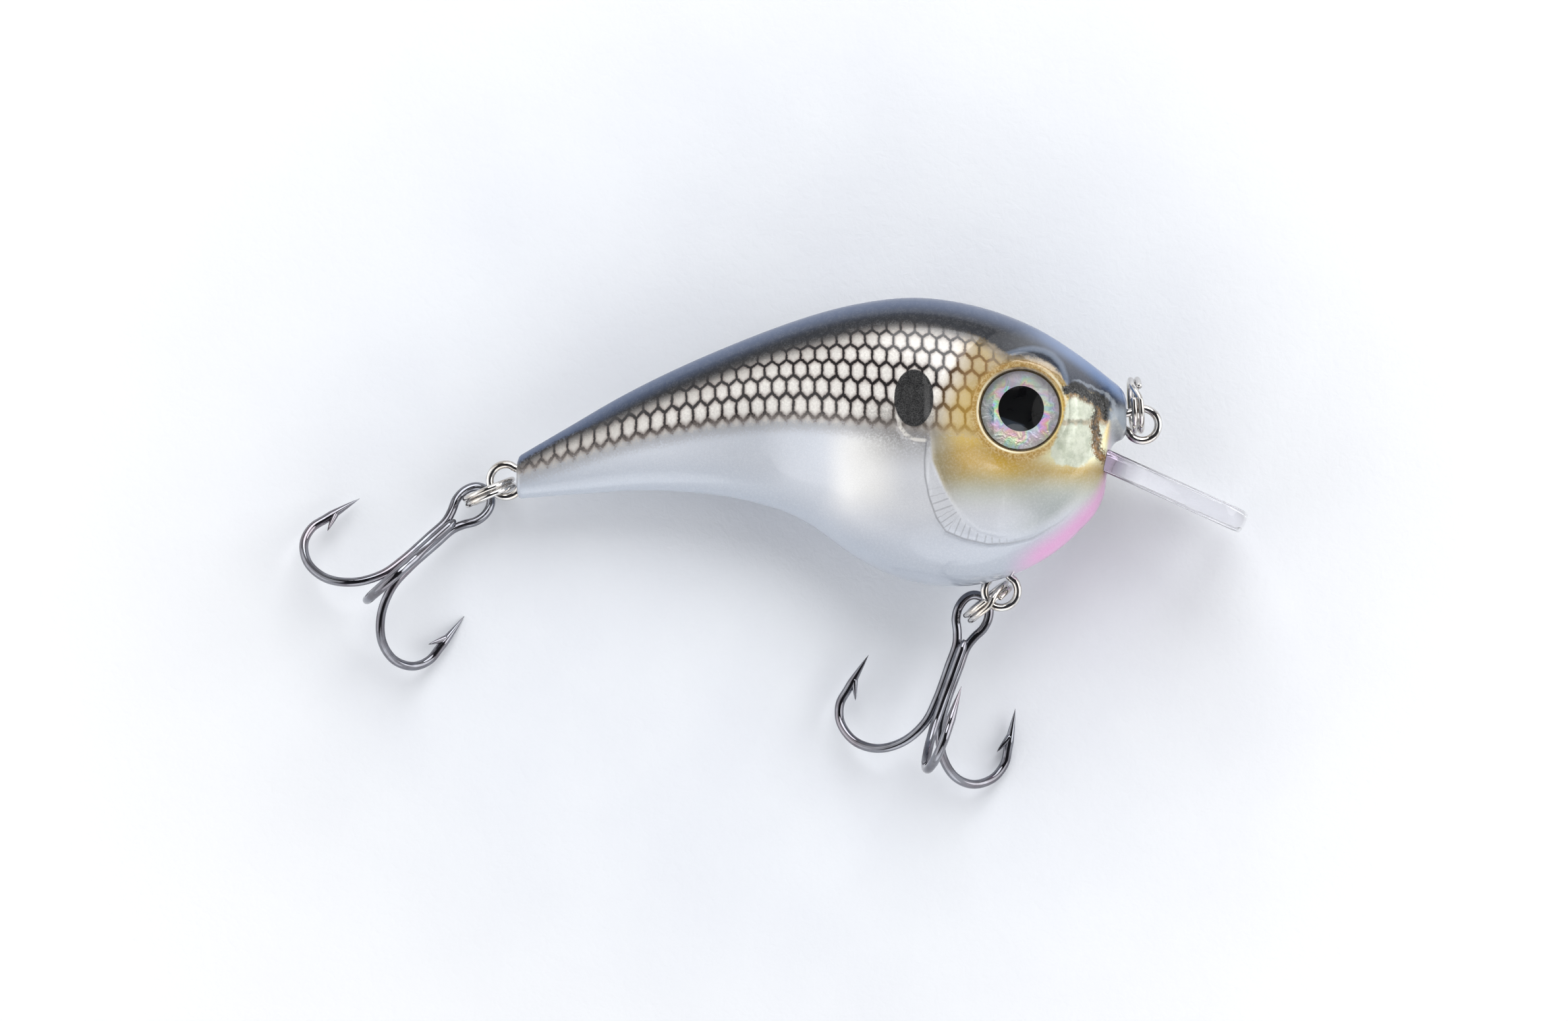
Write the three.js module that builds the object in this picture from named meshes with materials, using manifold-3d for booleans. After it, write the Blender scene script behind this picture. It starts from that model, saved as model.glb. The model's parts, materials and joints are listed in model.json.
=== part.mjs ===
// Square-billed crankbait lure, lying on its left flank on a flat surface. Millimetres, +Z up.
// The lure's own frame is used for everything on its body: x runs from the tail end towards the nose,
// y towards the back and z out of the right flank, with z = 0 on the seam between the two half shells.
// The body group is then tipped tail down, as the lure comes to rest, and the rings and trebles lie beside it.
import * as THREE from "three";
import { mergeVertices } from "three/addons/utils/BufferGeometryUtils.js";
import Module from "manifold-3d";

const wasm = await Module();
wasm.setup();

// Driving dimensions
const bodyLength = 66.1;
const wall = 1.3;
const seamGap = 0.1; // the ultrasonic weld line between the shells
const fitGap = 0.25; // round a piece that a shell is cut for
const tailDrop = THREE.MathUtils.degToRad(4.6); // the tail lies lower than the belly
const seamHeight = 9.25; // of the seam plane over the surface, at restX
const restX = 46;
const sectionPower = 2.2; // of the superellipse that each body section is

const eye = { x: 54.9, y: 7.8, socketRadius: 4.45, rim: 8.5, floor: 7.1 };
const eyeFoil = { radius: 4.1, thickness: 0.4 };
const eyeDome = { radius: 4.15, edge: 0.75, height: 1.7 };

const eyeletWire = 0.87;
const ringWire = 0.65;
const ringRadius = 2.8; // to the middle of the wire
const hookWire = 1.0;
const shankOffset = 0.62; // of each shank from the treble's axis
const bill = { rootX: 63.5, rootY: 2.7, slope: -24.6, thickness: 2.4, length: 16.4, halfWidth: 9.2 };
const ballast = { x: 44.5, y: -4, radius: 3.3, length: 9.2 };
const rattle = { radius: 2, places: [[36.5, 7.6, 2.8], [41.3, 8.3, 3.9], [46.1, 8.9, 4.4]] }; // x, y, reach in z

// Materials
const finish = (color, roughness, metalness, extra = {}) =>
  new THREE.MeshStandardMaterial({ color, roughness, metalness, ...extra });
const paintedShell = finish(0xc9ccd2, 0.25, 0.3);
const clearResin = finish(0xe6e2ee, 0.05, 0, { transparent: true, opacity: 0.4 });
const holoFoil = finish(0xcfd6dc, 0.2, 0.8);
const nickelWire = finish(0xb9b3a6, 0.2, 1);
const blackNickel = finish(0x4b4d52, 0.25, 1);
const leadSlug = finish(0x6d6f73, 0.6, 0.8);
const bearingSteel = finish(0xa9acb0, 0.15, 1);

const smooth = (low, high, v) => THREE.MathUtils.smoothstep(v, low, high);
const mix = THREE.MathUtils.lerp;

// A smooth curve through [x, value] pairs, as a function of x.
function through(points) {
  const slope = (i) => {
    const a = points[Math.max(i - 1, 0)];
    const b = points[Math.min(i + 1, points.length - 1)];
    return (b[1] - a[1]) / (b[0] - a[0]);
  };
  return (x) => {
    let i = points.findIndex((p) => p[0] > x) - 1;
    if (i === -2) i = points.length - 2;
    i = Math.max(i, 0);
    const [x0, v0] = points[i];
    const [x1, v1] = points[i + 1];
    const d = x1 - x0;
    const t = THREE.MathUtils.clamp((x - x0) / d, 0, 1);
    const rise = v1 - v0;
    const a = slope(i) * d - rise;
    const b = rise - slope(i + 1) * d;
    return v0 + rise * t + t * (1 - t) * (a * (1 - t) + b * t);
  };
}

// The body's form: back and belly lines, and half widths above and below its middle.
const backLine = through([[0, 3], [5, 5.9], [12, 9.9], [20, 13.7], [30, 17.6], [37, 19.5],
  [43.5, 20.15], [50, 19.2], [56, 17], [61, 13.9], [66.1, 9.9]]);
const bellyLine = through([[0, -1.6], [6, -1.15], [14, -0.7], [22, -1.25], [28.5, -2.8], [32, -4.5],
  [37, -8], [42, -10.3], [47, -11.1], [52, -10.45], [57, -8.3], [61, -5.1], [63.7, -1.3], [64.4, 3.6], [66.1, 4.8]]);
const backWidth = through([[0, 1.7], [10, 2.7], [20, 4], [30, 5.6], [40, 7.3], [50, 8.5], [56, 8.3], [61, 6.3],
  [64.5, 4.1], [66.1, 2.9]]);
const bellyWidth = through([[0, 1.7], [10, 2.6], [20, 3.6], [28, 4.6], [32, 6], [37, 8.4], [43, 9.3], [50, 9.38],
  [56, 8.8], [61, 6.6], [64.5, 4.2], [66.1, 2.9]]);

// Share of the belly's width at a height of -1 (belly line) to 1 (back line).
const bellyShare = (height) => 1 - smooth(-0.35, 0.4, height);

const power = (v, p) => Math.sign(v) * Math.abs(v) ** p;

// A point of the body's section at x, with inset taken off its walls. side and up are the cosine and
// sine of the angle round the section.
function sectionPoint(x, side, up, inset) {
  const top = backLine(x) - inset;
  const bottom = bellyLine(x) + inset;
  const height = power(up, 2 / sectionPower);
  const width = mix(backWidth(x), bellyWidth(x), bellyShare(height)) - inset;
  const y = mix(bottom, top, (height + 1) / 2);
  let z = width * power(side, 2 / sectionPower);
  if (inset === 0) {
    const fromEye = Math.hypot(x - eye.x, y - eye.y);
    const raised = 1 - smooth(5.1, 6.9, fromEye);
    z = mix(z, Math.sign(z) * eye.rim, raised);
  }
  return new THREE.Vector3(x, y, z);
}

// Moves each vertex of a closed cylinder: along runs 0 to 1, side and up lie on the unit circle, and
// share is 0 at the middle of an end cap and 1 elsewhere.
function mapCylinder(sides, steps, place) {
  const geometry = new THREE.CylinderGeometry(1, 1, 1, sides, steps);
  const position = geometry.attributes.position;
  for (let i = 0; i < position.count; i++) {
    const side = position.getX(i);
    const up = position.getZ(i);
    const p = place(position.getY(i) + 0.5, side, up, Math.hypot(side, up));
    position.setXYZ(i, p.x, p.y, p.z);
  }
  return geometry;
}

// A body form from one x to another, closed by flat ends. ease crowds the stations towards the ends.
function bodyForm(from, to, inset, sides, steps) {
  return mapCylinder(sides, steps, (along, side, up, share) => {
    const eased = mix(along, smooth(0, 1, along), 0.55);
    const x = mix(from, to, eased);
    const middle = new THREE.Vector3(x, (backLine(x) + bellyLine(x)) / 2, 0);
    return share < 0.5 ? middle : sectionPoint(x, side, up, inset);
  });
}

// Round wire that tapers, along a curve. radiusAt gives its radius at 0 to 1 along it.
function taperedWire(curve, radiusAt, steps, sides = 7) {
  const points = curve.getSpacedPoints(steps);
  const { normals, binormals } = curve.computeFrenetFrames(steps, false);
  return mapCylinder(sides, steps, (along, side, up, share) => {
    const i = Math.round(along * steps);
    const r = radiusAt(along) * (share < 0.5 ? 0 : 1);
    return points[i].clone().addScaledVector(binormals[i], side * r).addScaledVector(normals[i], up * r);
  });
}

// Round wire of one radius along a curve.
function roundBar(curve, radius, steps) {
  const section = new THREE.Shape().absarc(0, 0, radius, 0, 2 * Math.PI);
  return new THREE.ExtrudeGeometry(section, { steps, curveSegments: 3, bevelEnabled: false, extrudePath: curve });
}

// three.js geometry to and from a manifold-3d solid.
function solid(geometry) {
  const bare = new THREE.BufferGeometry();
  bare.setAttribute("position", geometry.attributes.position);
  bare.setIndex(geometry.index);
  const merged = mergeVertices(bare, 1e-4);
  return new wasm.Manifold(new wasm.Mesh({
    numProp: 3,
    vertProperties: merged.attributes.position.array,
    triVerts: new Uint32Array(merged.index.array),
  }));
}

function geometryOf(manifold) {
  const mesh = manifold.getMesh();
  const geometry = new THREE.BufferGeometry();
  geometry.setAttribute("position", new THREE.BufferAttribute(mesh.vertProperties, 3));
  geometry.setIndex(new THREE.BufferAttribute(mesh.triVerts, 1));
  geometry.computeVertexNormals();
  return geometry;
}

const block = (x0, x1, y0, y1, z0, z1) =>
  solid(new THREE.BoxGeometry(x1 - x0, y1 - y0, z1 - z0)
    .translate((x0 + x1) / 2, (y0 + y1) / 2, (z0 + z1) / 2));

// A round bar across the lure, from z0 to z1.
const crossBar = (x, y, radius, z0, z1, sides = 24) =>
  solid(new THREE.CylinderGeometry(radius, radius, z1 - z0, sides).rotateX(Math.PI / 2)
    .translate(x, y, (z0 + z1) / 2));

// Wire eyelets: an outer loop to hang a ring on, a neck, and an inner loop that a post in the shells holds.
const eyelets = {
  nose_eyelet: { outer: [67.8, 6.4], inner: [62.7, 7.7], outerRadius: 1.73, innerRadius: 1.35 },
  belly_eyelet: { outer: [52.6, -11.55], inner: [52, -6.6], outerRadius: 1.8, innerRadius: 1.5 },
  tail_eyelet: { outer: [-1.35, 0.4], inner: [3.7, 1.5], outerRadius: 1.76, innerRadius: 1.15 },
};

function eyeletCurve({ outer, inner, outerRadius, innerRadius }) {
  const length = Math.hypot(inner[0] - outer[0], inner[1] - outer[1]);
  const turn = Math.atan2(inner[1] - outer[1], inner[0] - outer[0]);
  const neck = eyeletWire / 2 + 0.06;
  const points = [];
  const loop = (centre, radius, fromDeg, toDeg, count) => {
    for (let i = 0; i <= count; i++) {
      const a = THREE.MathUtils.degToRad(mix(fromDeg, toDeg, i / count));
      points.push([centre + radius * Math.cos(a), radius * Math.sin(a)]);
    }
  };
  const neckAt = (outerRadius + length - innerRadius) / 2;
  loop(length, innerRadius, 15, 140, 5);
  points.push([neckAt, neck]);
  loop(0, outerRadius, 38, 322, 12);
  points.push([neckAt, -neck]);
  loop(length, innerRadius, 220, 345, 5);
  return new THREE.CatmullRomCurve3(points.map(([a, b]) => new THREE.Vector3(
    outer[0] + a * Math.cos(turn) - b * Math.sin(turn),
    outer[1] + a * Math.sin(turn) + b * Math.cos(turn), 0)));
}

// The room for an eyelet in the shells: two halves, since the room round one side of the neck runs into
// the other's, and a ring that clears the ends of the wire.
function eyeletRoom(spec) {
  const whole = eyeletCurve(spec);
  const radius = eyeletWire / 2 + fitGap;
  const halves = [0, 0.47].map((start) => {
    const half = new THREE.Curve();
    half.getPoint = (t) => whole.getPoint(start + 0.53 * t);
    return roundBar(half, radius, 18);
  });
  const ring = new THREE.TorusGeometry(spec.innerRadius, radius, 6, 14).translate(...spec.inner, 0);
  return [...halves, ring].map(solid);
}

// The diving bill: a tang between the shells, shoulders that widen, and a square front with round corners.
function billForm(margin) {
  const { length, thickness } = bill;
  const root = 3.4 + margin;
  const neck = 4.2 + margin;
  const wide = bill.halfWidth + margin;
  const tang = -3.1 - margin;
  const corner = 3;
  const outline = new THREE.Shape();
  outline.moveTo(tang, -root);
  outline.lineTo(0, -root);
  outline.lineTo(0.6, -neck);
  outline.lineTo(7.6, -wide);
  outline.lineTo(length - corner, -wide);
  outline.quadraticCurveTo(length, -wide, length, -wide + corner);
  outline.quadraticCurveTo(length + 0.6, 0, length, wide - corner);
  outline.quadraticCurveTo(length, wide, length - corner, wide);
  outline.lineTo(7.6, wide);
  outline.lineTo(0.6, neck);
  outline.lineTo(0, root);
  outline.lineTo(tang, root);
  outline.closePath();
  const bevel = 0.4;
  const depth = thickness - 2 * bevel + 2 * margin;
  const form = new THREE.ExtrudeGeometry(outline, { depth, curveSegments: 6, bevelThickness: bevel,
    bevelSize: bevel, bevelOffset: -bevel, bevelSegments: 1 });
  const slope = THREE.MathUtils.degToRad(bill.slope);
  const ahead = new THREE.Vector3(Math.cos(slope), Math.sin(slope), 0);
  const across = new THREE.Vector3(0, 0, 1);
  const down = ahead.clone().cross(across);
  form.translate(0, 0, -depth / 2);
  form.applyMatrix4(new THREE.Matrix4().makeBasis(ahead, across, down));
  return form.translate(bill.rootX, bill.rootY, 0);
}

// Both shells in one piece: the form less its cavity, with bosses, ribs and eye seats inside.
function hollowBody() {
  const outside = solid(bodyForm(0, bodyLength, 0, 26, 38));
  const cavity = solid(bodyForm(9, 60, wall, 16, 20));
  const { x, y, radius } = ballast;
  const inside = [
    block(48.6, 55.4, -12, -4, -2.6, 2.6), // keel boss round the belly eyelet's inner loop
    block(32.8, 33.8, -8, 20, -9, 9), // bulkheads and shelf of the rattle chamber
    block(48.9, 49.9, 4, 20, -9, 9),
    block(33.8, 48.9, 4, 5, -9, 9),
    crossBar(x, y, radius + 1.3, -9, 9), // ballast bosses
    crossBar(eye.x, eye.y, eye.socketRadius + 1, 5.6, 9),
    crossBar(eye.x, eye.y, eye.socketRadius + 1, -9, -5.6),
  ].map((piece) => piece.intersect(outside));
  const cuts = [
    crossBar(x, y, radius + fitGap, -ballast.length / 2 - fitGap, ballast.length / 2 + fitGap),
    crossBar(eye.x, eye.y, eye.socketRadius, eye.floor, 12),
    crossBar(eye.x, eye.y, eye.socketRadius, -12, -eye.floor),
    solid(billForm(fitGap)),
    ...Object.values(eyelets).flatMap(eyeletRoom),
  ];
  let body = outside.subtract(cavity);
  for (const piece of inside) body = body.add(piece);
  for (const cut of cuts) body = body.subtract(cut);
  return body;
}

// A slim disc of foil, and a clear dome with a short straight edge. side is 1 on the right, -1 on the left.
function eyePieces(side, prefix) {
  const turned = (profile) => new THREE.LatheGeometry(profile.map(([r, h]) => new THREE.Vector2(r, h)), 24)
    .rotateX(side > 0 ? Math.PI / 2 : -Math.PI / 2);
  const foil = turned([[0, 0], [eyeFoil.radius, 0], [eyeFoil.radius, eyeFoil.thickness], [0, eyeFoil.thickness]]);
  const { radius, edge, height } = eyeDome;
  const dome = [[0, 0], [radius, 0]];
  for (let i = 0; i <= 5; i++) {
    const a = (i / 5) * (Math.PI / 2);
    dome.push([i === 5 ? 0 : radius * Math.cos(a), edge + (height - edge) * Math.sin(a)]);
  }
  const foilMesh = new THREE.Mesh(geometryOf(solid(foil)), holoFoil);
  foilMesh.name = prefix + "_eye_foil";
  foilMesh.position.set(eye.x, eye.y, side * (eye.floor + 0.1));
  const domeMesh = new THREE.Mesh(geometryOf(solid(turned(dome))), clearResin);
  domeMesh.name = prefix + "_eye_dome";
  domeMesh.position.set(eye.x, eye.y, side * (eye.floor + 0.15 + eyeFoil.thickness));
  return [foilMesh, domeMesh];
}

// A split ring in its own frame: two flat turns side by side, with a jog from one to the other at 0 degrees.
function splitRingForm() {
  const pitch = ringWire + 0.06;
  const turns = new THREE.Curve();
  turns.getPoint = (t) => {
    const degrees = mix(14, 706, t);
    const side = mix(-pitch / 2, pitch / 2, smooth(335, 385, degrees));
    const a = THREE.MathUtils.degToRad(degrees);
    return new THREE.Vector3(ringRadius * Math.cos(a), ringRadius * Math.sin(a), side);
  };
  return roundBar(turns, ringWire / 2, 44);
}

// One hook of a treble, as [out from the treble's axis, along it], from under the eye to the point.
const hookLine = [[shankOffset, -6], [shankOffset, -10], [1, -12.8], [2.6, -15.5], [5.2, -17.2], [8.1, -17.3],
  [10.4, -15.9], [11.2, -14], [10.9, -12.2], [10.45, -10], [10, -7.95]];
const pointLength = 3.6;
const barb = { out: 10.2, along: -11.3, length: 1.9, radius: 0.34, lean: 18 };
const hookBearing = { left: 210, right: 330, front: 90 };

function onBearing(bearing, out, along) {
  const a = THREE.MathUtils.degToRad(bearing);
  return new THREE.Vector3(out * Math.cos(a), along, out * Math.sin(a));
}

// A barb: a thin spike off the inner side of the spear, leaning back to the shank.
function barbSolid(bearing) {
  const tip = onBearing(bearing, barb.out - barb.length * Math.sin(THREE.MathUtils.degToRad(barb.lean)),
    barb.along - barb.length * Math.cos(THREE.MathUtils.degToRad(barb.lean)));
  const base = onBearing(bearing, barb.out, barb.along);
  const lie = tip.clone().sub(base);
  const spike = new THREE.ConeGeometry(barb.radius, lie.length(), 6).translate(0, lie.length() / 2, 0);
  spike.applyQuaternion(new THREE.Quaternion().setFromUnitVectors(new THREE.Vector3(0, 1, 0), lie.normalize()));
  return solid(spike.translate(base.x, base.y, base.z));
}

// Radius of hook wire that narrows to a point over pointLength at one or both ends.
function hookRadius(length, bothEnds) {
  return (along) => {
    const fromEnd = (bothEnds ? Math.min(along, 1 - along) : 1 - along) * length;
    return (hookWire / 2) * Math.max(0.08, Math.min(1, fromEnd / pointLength) ** 0.8);
  };
}

// Two hooks bent from one wire, with the eye between their shanks.
function doubleHookForm() {
  const low = -shankOffset / 2;
  const eyeHalf = [[-0.57, -3.6], [-0.98, -2.3], [-1.6, -1], [-1.72, 0.3], [-1.3, 1.5], [-0.55, 2.1]];
  const left = hookLine.map(([out, along]) => onBearing(hookBearing.left, out, along)).reverse();
  const right = hookLine.map(([out, along]) => onBearing(hookBearing.right, out, along));
  const loop = [...eyeHalf, ...eyeHalf.map(([x, y]) => [-x, y]).reverse()]
    .map(([x, y]) => new THREE.Vector3(x, y, low));
  const curve = new THREE.CatmullRomCurve3([...left, ...loop, ...right]);
  curve.arcLengthDivisions = 600;
  return solid(taperedWire(curve, hookRadius(curve.getLength(), true), 84))
    .add(barbSolid(hookBearing.left))
    .add(barbSolid(hookBearing.right));
}

// The third hook, brazed along the other two.
function singleHookForm() {
  const start = onBearing(hookBearing.front, shankOffset, -2.9);
  const rest = hookLine.map(([out, along]) => onBearing(hookBearing.front, out, along));
  const curve = new THREE.CatmullRomCurve3([start, ...rest]);
  return solid(taperedWire(curve, hookRadius(curve.getLength(), false), 36)).add(barbSolid(hookBearing.front));
}

function named(name, geometry, material) {
  const mesh = new THREE.Mesh(geometry, material);
  mesh.name = name;
  return mesh;
}

// The lure's body and all that is fixed in it, in the lure's own frame.
function lureBody() {
  const group = new THREE.Group();
  const body = hollowBody();
  const rightHalf = body.intersect(block(-5, 75, -20, 30, seamGap / 2, 15));
  const leftHalf = body.intersect(block(-5, 75, -20, 30, -15, -seamGap / 2));
  group.add(named("right_shell", geometryOf(rightHalf), paintedShell));
  group.add(named("left_shell", geometryOf(leftHalf), paintedShell));
  group.add(named("diving_bill", geometryOf(solid(billForm(0))), clearResin));
  group.add(...eyePieces(1, "right"), ...eyePieces(-1, "left"));
  for (const [name, spec] of Object.entries(eyelets)) {
    group.add(named(name, roundBar(eyeletCurve(spec), eyeletWire / 2, 36), nickelWire));
  }
  const slug = crossBar(ballast.x, ballast.y, ballast.radius, -ballast.length / 2, ballast.length / 2);
  group.add(named("ballast_slug", geometryOf(slug), leadSlug));
  rattle.places.forEach(([x, y, reach], i) => {
    const ball = named("rattle_ball_" + (i + 1), new THREE.SphereGeometry(rattle.radius, 14, 10), bearingSteel);
    ball.position.set(x, y, -reach);
    group.add(ball);
  });
  // Tipped about the lure's y through restX on the seam plane, which stands at seamHeight.
  group.rotation.y = -tailDrop;
  group.position.set(restX * (1 - Math.cos(tailDrop)), 0, seamHeight - restX * Math.sin(tailDrop));
  return group;
}

// Rings stand on edge: middle of the ring, and the bearing of its plane seen from above.
const rings = {
  nose_split_ring: { middle: [67.15, 8.5, 9.15], bearing: 94.2, jog: 60 },
  belly_split_ring: { middle: [51.25, -12.75, 7.8], bearing: 39.4, jog: 80 },
  tail_split_ring: { middle: [-3, -0.87, 3.62], bearing: 23, jog: 200 },
};

function splitRing(name) {
  const { middle, bearing, jog } = rings[name];
  const form = splitRingForm().rotateZ(THREE.MathUtils.degToRad(jog));
  const ring = named(name, form, nickelWire);
  ring.position.set(...middle);
  ring.rotation.set(Math.PI / 2, 0, THREE.MathUtils.degToRad(bearing), "ZXY");
  return ring;
}

// Trebles lie on two hooks: middle of the eye, bearing of the shank towards the eye, the eye's rise, and
// roll about the shank.
const trebles = {
  belly_treble: { middle: [49.7, -14.2, 6.45], bearing: 70, rise: -2.3, roll: 5.5 },
  tail_treble: { middle: [-4.9, -2.15, 2.85], bearing: 42.5, rise: -17.5, roll: 3.8 },
};

function treble(name) {
  const { middle, bearing, rise, roll } = trebles[name];
  const group = new THREE.Group();
  group.add(named(name + "_double_hook", geometryOf(doubleHookForm()), blackNickel));
  group.add(named(name + "_single_hook", geometryOf(singleHookForm()), blackNickel));
  group.position.set(...middle);
  const [x, y, z] = [rise, roll, bearing - 90].map(THREE.MathUtils.degToRad);
  group.rotation.set(x, y, z, "ZXY");
  return group;
}

const lure = new THREE.Group();
lure.add(lureBody());
for (const name of Object.keys(rings)) lure.add(splitRing(name));
for (const name of Object.keys(trebles)) lure.add(treble(name));

// The origin is on the surface that the lure lies on, under the middle of its bounding box.
lure.updateMatrixWorld(true);
const box = new THREE.Box3().setFromObject(lure, true);
lure.position.set(-(box.min.x + box.max.x) / 2, -(box.min.y + box.max.y) / 2, -box.min.z);

export default lure;
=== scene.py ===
import bmesh
import bpy
import json
import math
from mathutils import Matrix, Vector


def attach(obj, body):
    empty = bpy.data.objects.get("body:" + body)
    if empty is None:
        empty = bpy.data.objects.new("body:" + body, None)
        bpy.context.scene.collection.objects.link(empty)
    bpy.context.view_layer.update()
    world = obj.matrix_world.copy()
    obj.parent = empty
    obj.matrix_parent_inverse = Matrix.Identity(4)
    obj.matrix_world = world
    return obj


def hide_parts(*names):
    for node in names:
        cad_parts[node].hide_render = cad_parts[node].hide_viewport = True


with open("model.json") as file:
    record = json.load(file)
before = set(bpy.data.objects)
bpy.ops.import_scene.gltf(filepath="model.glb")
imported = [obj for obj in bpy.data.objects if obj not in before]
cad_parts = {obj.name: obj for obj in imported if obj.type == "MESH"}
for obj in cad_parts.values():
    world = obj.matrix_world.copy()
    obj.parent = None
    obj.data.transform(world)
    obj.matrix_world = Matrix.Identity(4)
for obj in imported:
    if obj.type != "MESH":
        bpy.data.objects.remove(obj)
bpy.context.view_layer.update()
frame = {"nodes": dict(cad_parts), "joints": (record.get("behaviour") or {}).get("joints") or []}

# The lure's own frame is in millimetres: x from the tail end to the nose, y to the back, z out of the right
# flank. The body lies tipped tail down, and the rings and trebles lie beside it.
mm = 0.001
lie = {"restX": 46, "seamHeight": 9.25, "tailEyelet": Vector((-1.35, 0.4, 0))}
tailJoint = next(j for j in frame["joints"] if j["name"] == "tail_ring_swing")
flankUp = Vector(tailJoint["axis"])
tip = math.atan2(-flankUp.x, flankUp.z)
restPoint = Vector((lie["restX"], 0, lie["seamHeight"]))
tipped = (Matrix.Translation(restPoint) @ Matrix.Rotation(-tip, 4, "Y")
          @ Matrix.Translation((-lie["restX"], 0, 0)))
originShift = Vector(tailJoint["pos_m"]) - (tipped @ lie["tailEyelet"]) * mm
lying = Matrix.Translation(originShift) @ Matrix.Scale(mm, 4)  # millimetres beside the lure, to the frame
lure = lying @ tipped  # the lure's own millimetres, to the frame


def mix(a, b, t):
    return a + (b - a) * t


def smooth(low, high, v):
    t = min(max((v - low) / (high - low), 0), 1)
    return t * t * (3 - 2 * t)


def bump(v, width):
    return math.exp(-(v / width) ** 2)


def curveThrough(points):  # a smooth curve through (x, value) pairs, as a function of x
    def slope(i):
        a, b = points[max(i - 1, 0)], points[min(i + 1, len(points) - 1)]
        return (b[1] - a[1]) / (b[0] - a[0])

    def value(x):
        i = max([n for n, p in enumerate(points[:-1]) if p[0] <= x], default=0)
        (x0, v0), (x1, v1) = points[i], points[i + 1]
        t = min(max((x - x0) / (x1 - x0), 0), 1)
        a = slope(i) * (x1 - x0) - (v1 - v0)
        b = (v1 - v0) - slope(i + 1) * (x1 - x0)
        return v0 + (v1 - v0) * t + t * (1 - t) * (a * (1 - t) + b * t)

    return value


def fromLine(x, y, line):  # distance from a run of points, and how far along it the nearest place is, 0 to 1
    best, place = 1e9, 0
    for i, (a, b) in enumerate(zip(line, line[1:])):
        dx, dy = b[0] - a[0], b[1] - a[1]
        t = min(max(((x - a[0]) * dx + (y - a[1]) * dy) / (dx * dx + dy * dy), 0), 1)
        ex, ey = x - a[0] - t * dx, y - a[1] - t * dy
        if ex * ex + ey * ey < best:
            best, place = ex * ex + ey * ey, (i + t) / (len(line) - 1)
            side = math.copysign(1, dx * ey - dy * ex)
    return side * math.sqrt(best), place


def roundedRoute(points, count):  # a centripetal curve through the points, at even steps
    ends = [points[0] * 2 - points[1], *points, points[-1] * 2 - points[-2]]
    dense = []
    for p0, p1, p2, p3 in zip(ends, ends[1:], ends[2:], ends[3:]):
        d0, d1, d2 = [(b - a).length ** 0.5 for a, b in ((p0, p1), (p1, p2), (p2, p3))]
        m1 = ((p1 - p0) / d0 - (p2 - p0) / (d0 + d1) + (p2 - p1) / d1) * d1
        m2 = ((p2 - p1) / d1 - (p3 - p1) / (d1 + d2) + (p3 - p2) / d2) * d1
        for step in range(24):
            t = step / 24
            dense.append(
                p1 * (2 * t**3 - 3 * t**2 + 1) + m1 * (t**3 - 2 * t**2 + t)
                + p2 * (3 * t**2 - 2 * t**3) + m2 * (t**3 - t**2))
    dense.append(points[-1].copy())
    lengths = [0]
    for a, b in zip(dense, dense[1:]):
        lengths.append(lengths[-1] + (b - a).length)
    even, at = [], 0
    for i in range(count + 1):
        goal = lengths[-1] * i / count
        while at < len(dense) - 2 and lengths[at + 1] < goal:
            at += 1
        even.append(dense[at].lerp(dense[at + 1], (goal - lengths[at]) / (lengths[at + 1] - lengths[at])))
    return even, lengths[-1]


# ---- making objects


def finishedObject(name, mesh, body, materials, replaced=()):
    piece = bpy.data.objects.new(name, mesh)
    bpy.context.scene.collection.objects.link(piece)
    for material in materials:
        mesh.materials.append(material)
    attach(piece, body)
    if replaced:
        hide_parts(*replaced)
    return piece


def meshFrom(bm, name, place, smoothed=True):  # place takes the bmesh's own millimetres to the frame
    bmesh.ops.transform(bm, matrix=place, verts=bm.verts)
    mesh = bpy.data.meshes.new(name)
    bm.to_mesh(mesh)
    bm.free()
    if smoothed:
        mesh.shade_smooth()
    return mesh


def sweptWire(bm, route, radii, sides=14):  # round wire along a run of points, closed at both ends
    section = bmesh.ops.create_circle(bm, cap_ends=True, radius=1, segments=sides)["verts"]
    ahead = (route[1] - route[0]).normalized()
    turn = Vector((0, 0, 1)).rotation_difference(ahead)
    rest = [v.co.copy() for v in section]
    for v, co in zip(section, rest):
        v.co = route[0] + turn @ (co * radii[0])
    bmesh.ops.reverse_faces(bm, faces=list(section[0].link_faces))
    ring = [e for e in section[0].link_faces[0].edges]
    order = section
    for i in range(1, len(route)):
        nearby = (route[min(i + 1, len(route) - 1)] - route[i - 1]).normalized()
        turn = ahead.rotation_difference(nearby) @ turn
        ahead = nearby
        made = bmesh.ops.extrude_edge_only(bm, edges=ring)["geom"]
        newEdges = [g for g in made if isinstance(g, bmesh.types.BMEdge)]
        moved = {}
        for e in newEdges:
            for v in e.verts:
                moved[v] = None
        follow = []
        for old in order:
            follow.append(next(e.other_vert(old) for e in old.link_edges if e.other_vert(old) in moved))
        for v, co in zip(follow, rest):
            v.co = route[i] + turn @ (co * radii[i])
        order, ring = follow, newEdges
    bmesh.ops.contextual_create(bm, geom=ring)


# ---- node helpers


def srgb(r, g, b):  # a colour as a painter reads it, 0 to 255
    linear = [c / 255 / 12.92 if c < 11 else ((c / 255 + 0.055) / 1.055) ** 2.4 for c in (r, g, b)]
    return (*linear, 1)


def wire(tree, socket, value):
    if isinstance(value, bpy.types.NodeSocket):
        tree.links.new(value, socket)
    else:
        socket.default_value = value


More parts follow.
